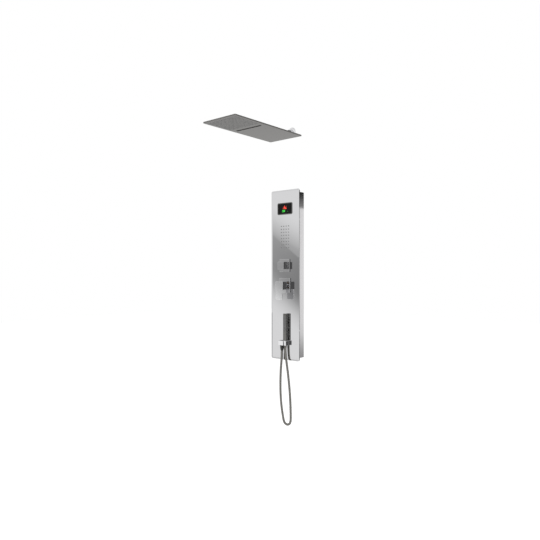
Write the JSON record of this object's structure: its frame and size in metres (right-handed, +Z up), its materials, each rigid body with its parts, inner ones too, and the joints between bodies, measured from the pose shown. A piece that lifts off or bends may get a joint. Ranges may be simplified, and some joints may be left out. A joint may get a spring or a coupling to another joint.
{
  "type": "wall shower panel",
  "caption": "Wall shower panel with temperature display, body jets, diverter knob, lever mixer and hand shower on a hose, with a separate flat rain and waterfall head on a wall arm.",
  "frame": {"origin": "centre of the four wall-bracket screw holes, on the wall plane", "axes": "+Z up, +Y into the wall, +X to the right seen from the front"},
  "size_m": [0.235, 0.624, 1.7607],
  "materials": {
    "polished_steel": "mirror polished stainless sheet",
    "satin_steel": "satin stainless sheet",
    "dark_steel": "blackened steel",
    "galvanised_steel": "zinc coated",
    "chrome": "polished chrome on brass",
    "dark_chrome": "dark polished chrome",
    "display_glass": "glossy black window",
    "circuit_board": "green circuit board",
    "black_plastic": "matt black",
    "white_plastic": "white engineering plastic",
    "grey_plastic": "light grey",
    "brass": "raw brass",
    "copper_pipe": "drawn copper tube",
    "black_rubber": "matt black rubber",
    "grey_silicone": "grey silicone",
    "hose_metal": "wound metal hose",
    "head_steel": "brushed stainless sheet"
  },
  "bodies": {
    "panel": {"front_plate": "polished_steel", "side_profiles": "satin_steel", "end_plates": "satin_steel", "side_screws": "dark_steel", "wall_brackets": "galvanised_steel", "hanging_rails": "galvanised_steel", "display_bezel": "chrome", "display_window": "display_glass", "display_board": "circuit_board", "display_box": "black_plastic", "temperature_sensor": "brass", "sensor_cable": "black_rubber", "jet_nozzle_mat": "grey_silicone", "jet_chamber": "black_plastic", "jet_studs": "galvanised_steel", "diverter_rosette": "chrome", "diverter_body": "brass", "diverter_ring_nut": "brass", "mixer_rosette": "chrome", "mixer_body": "brass", "mixer_ring_nut": "brass", "mixer_sleeve": "chrome", "cartridge": "white_plastic", "cartridge_nut": "brass", "mixed_water_pipe": "copper_pipe", "supply_pipes": "copper_pipe", "jet_feed_pipe": "copper_pipe", "head_feed_pipe": "copper_pipe", "hand_feed_pipe": "copper_pipe", "inlet_elbows": "brass", "head_feed_elbow": "brass", "union_nuts": "brass", "holder_block": "chrome", "holder_washer": "black_rubber", "holder_nut": "brass", "holder_elbow": "brass", "outlet_nut": "dark_chrome", "hose": "hose_metal", "head_shell": "head_steel", "head_underside": "head_steel", "waterfall_lip": "dark_chrome", "rain_nozzles": "grey_silicone", "arm_wall_pipe": "chrome", "arm_head_pipe": "chrome", "arm_nut": "dark_chrome", "arm_flange": "chrome"},
    "diverter": {"diverter_knob": "chrome", "diverter_spindle": "brass", "diverter_set_screw": "dark_steel"},
    "mixer_swivel": {"cartridge_bush": "white_plastic", "stem_pin": "dark_steel"},
    "mixer_lever": {"lever_handle": "chrome", "lever_stem": "brass", "lever_set_screw": "dark_steel"},
    "hand_shower": {"handset_nut": "chrome", "handset_body": "chrome", "handset_spray_plate": "grey_plastic", "handset_nozzles": "grey_silicone", "handset_cap": "chrome"}
  },
  "joints": [
    {"name": "diverter_turn", "type": "hinge", "parent": "panel", "child": "diverter", "pos_m": [0, -0.09, 0.055], "axis": [0, -1, 0], "range_deg": [-90, 90]},
    {"name": "mixer_temperature", "type": "hinge", "parent": "panel", "child": "mixer_swivel", "pos_m": [0, -0.078, -0.062], "axis": [0, -1, 0], "range_deg": [-45, 45]},
    {"name": "mixer_flow", "type": "hinge", "parent": "mixer_swivel", "child": "mixer_lever", "pos_m": [0, -0.078, -0.062], "axis": [-1, 0, 0], "range_deg": [0, 20]},
    {"name": "hand_shower_lift", "type": "slide", "parent": "panel", "child": "hand_shower", "axis": [0, 0, 1], "range_m": [0, 0.12]}
  ]
}
